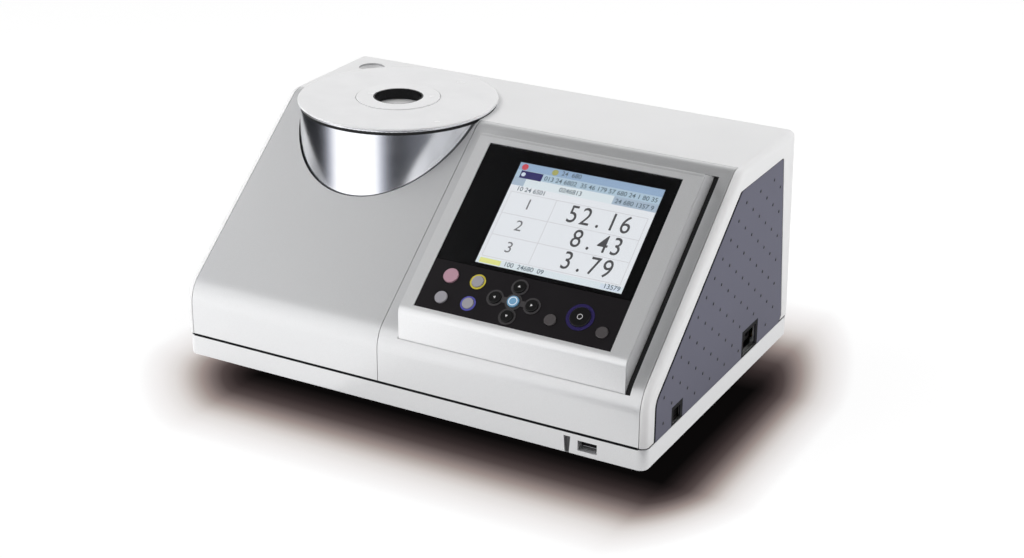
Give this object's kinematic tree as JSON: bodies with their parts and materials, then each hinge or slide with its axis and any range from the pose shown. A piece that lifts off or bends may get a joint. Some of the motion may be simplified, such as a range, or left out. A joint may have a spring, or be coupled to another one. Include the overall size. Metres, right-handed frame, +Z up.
{
  "type": "benchtop colorimeter",
  "caption": "Wedge-shaped benchtop colorimeter: round measuring stage on a bright drum at the left, raised display and keypad block at the right, tray base on feet.",
  "frame": {"origin": "centre of the footprint on the surface that the feet stand on", "axes": "+X to the instrument's right seen from the front, +Y to its back, +Z up"},
  "size_m": [0.385, 0.261, 0.1805],
  "materials": {
    "housing_white": "satin moulded",
    "silver_paint": "fine silver metallic paint",
    "side_grey": "satin moulded",
    "steel": "plated",
    "foot_rubber": "matt",
    "sheet_metal": "milled",
    "circuit_green": "solder resist",
    "brass": "turned",
    "capacitor_sleeve": "shrink sleeve",
    "black_plastic": "moulded",
    "rocker_black": "moulded",
    "optics_black": "matt black",
    "lamp_glass": "clear",
    "drum_chrome": "polished",
    "gasket_black": "matt",
    "stage_white": "smooth",
    "mask_white": "smooth",
    "collar_black": "polished",
    "port_glass": "opal",
    "display_grey": "fine silver metallic paint",
    "display_silver": "fine silver metallic paint",
    "window_glass": "smoked",
    "print_black": "printed",
    "lcd_dark": "panel",
    "keypad_black": "smooth",
    "pad_grey": "moulded",
    "ring_yellow": "moulded",
    "ring_blue": "moulded",
    "ring_violet": "moulded",
    "pink": "moulded",
    "key_grey": "moulded",
    "key_dark": "moulded",
    "key_black": "moulded",
    "key_blue": "moulded"
  },
  "bodies": {
    "instrument": {"upper_housing": "housing_white", "left_front_cover": "silver_paint", "right_front_cover": "silver_paint", "bottom_tray": "silver_paint", "seam_seal": "gasket_black", "display_gasket": "gasket_black", "left_side_panel": "side_grey", "right_side_panel": "side_grey", "tray_screws": "steel", "rubber_feet": "foot_rubber", "chassis_plate": "sheet_metal", "main_board": "circuit_green", "power_board": "circuit_green", "board_standoffs": "brass", "flash_capacitor": "capacitor_sleeve", "usb_a_socket": "steel", "usb_b_socket": "steel", "dc_jack": "black_plastic", "switch_body": "black_plastic", "optical_deck": "sheet_metal", "sphere_lower": "optics_black", "sphere_upper": "optics_black", "lamp_housing": "optics_black", "xenon_lamp": "lamp_glass", "receiver_barrel": "optics_black", "fold_mirror_block": "optics_black", "relay_tube": "optics_black", "spectrometer_case": "sheet_metal", "spectrometer_lid": "sheet_metal", "drum_skirt": "drum_chrome", "stage_gasket": "gasket_black", "stage_trim_ring": "drum_chrome", "port_window": "port_glass", "display_housing": "display_grey", "display_bezel": "display_silver", "display_glass": "window_glass", "window_mask": "print_black", "lcd_module": "lcd_dark", "keypad_panel": "keypad_black", "keypad_board": "circuit_green", "dpad_bezel": "pad_grey", "yellow_key_ring": "ring_yellow", "blue_key_ring": "ring_blue", "measure_key_ring": "ring_violet"},
    "stage": {"stage_plate": "stage_white"},
    "mask": {"target_mask": "mask_white", "mask_collar": "collar_black"},
    "rocker": {"switch_rocker": "rocker_black"},
    "calibrate_key_body": {"calibrate_key": "pink"},
    "target_key_body": {"target_key": "key_grey"},
    "menu_key_body": {"menu_key": "key_grey"},
    "page_key_body": {"page_key": "key_grey"},
    "up_key_body": {"up_key": "key_black"},
    "left_key_body": {"left_key": "key_black"},
    "right_key_body": {"right_key": "key_black"},
    "down_key_body": {"down_key": "key_black"},
    "select_key_body": {"select_key": "key_blue"},
    "back_key_body": {"back_key": "key_dark"},
    "measure_key_body": {"measure_key": "key_black"},
    "print_key_body": {"print_key": "key_dark"}
  },
  "joints": [
    {"name": "stage_lift", "type": "slide", "parent": "instrument", "child": "stage", "axis": [0, 0, 1], "range_m": [0, 0.02]},
    {"name": "mask_lift", "type": "slide", "parent": "stage", "child": "mask", "axis": [0, 0, 1], "range_m": [0, 0.015]},
    {"name": "power_rocker", "type": "hinge", "parent": "instrument", "child": "rocker", "pos_m": [0.1855, -0.0797, 0.02835], "axis": [0, 1, 0], "range_deg": [-16, 0]},
    {"name": "calibrate_key_press", "type": "slide", "parent": "instrument", "child": "calibrate_key_body", "axis": [0, 0.6229, -0.7823], "range_m": [0, 0.0008], "stiffness_N_per_m": 1500},
    {"name": "target_key_press", "type": "slide", "parent": "instrument", "child": "target_key_body", "axis": [0, 0.6229, -0.7823], "range_m": [0, 0.0008], "stiffness_N_per_m": 1500},
    {"name": "menu_key_press", "type": "slide", "parent": "instrument", "child": "menu_key_body", "axis": [0, 0.6229, -0.7823], "range_m": [0, 0.0008], "stiffness_N_per_m": 1500},
    {"name": "page_key_press", "type": "slide", "parent": "instrument", "child": "page_key_body", "axis": [0, 0.6229, -0.7823], "range_m": [0, 0.0008], "stiffness_N_per_m": 1500},
    {"name": "up_key_press", "type": "slide", "parent": "instrument", "child": "up_key_body", "axis": [0, 0.6229, -0.7823], "range_m": [0, 0.0008], "stiffness_N_per_m": 1500},
    {"name": "left_key_press", "type": "slide", "parent": "instrument", "child": "left_key_body", "axis": [0, 0.6229, -0.7823], "range_m": [0, 0.0008], "stiffness_N_per_m": 1500},
    {"name": "right_key_press", "type": "slide", "parent": "instrument", "child": "right_key_body", "axis": [0, 0.6229, -0.7823], "range_m": [0, 0.0008], "stiffness_N_per_m": 1500},
    {"name": "down_key_press", "type": "slide", "parent": "instrument", "child": "down_key_body", "axis": [0, 0.6229, -0.7823], "range_m": [0, 0.0008], "stiffness_N_per_m": 1500},
    {"name": "select_key_press", "type": "slide", "parent": "instrument", "child": "select_key_body", "axis": [0, 0.6229, -0.7823], "range_m": [0, 0.0008], "stiffness_N_per_m": 1500},
    {"name": "back_key_press", "type": "slide", "parent": "instrument", "child": "back_key_body", "axis": [0, 0.6229, -0.7823], "range_m": [0, 0.0008], "stiffness_N_per_m": 1500},
    {"name": "measure_key_press", "type": "slide", "parent": "instrument", "child": "measure_key_body", "axis": [0, 0.6229, -0.7823], "range_m": [0, 0.0008], "stiffness_N_per_m": 1500},
    {"name": "print_key_press", "type": "slide", "parent": "instrument", "child": "print_key_body", "axis": [0, 0.6229, -0.7823], "range_m": [0, 0.0008], "stiffness_N_per_m": 1500}
  ]
}
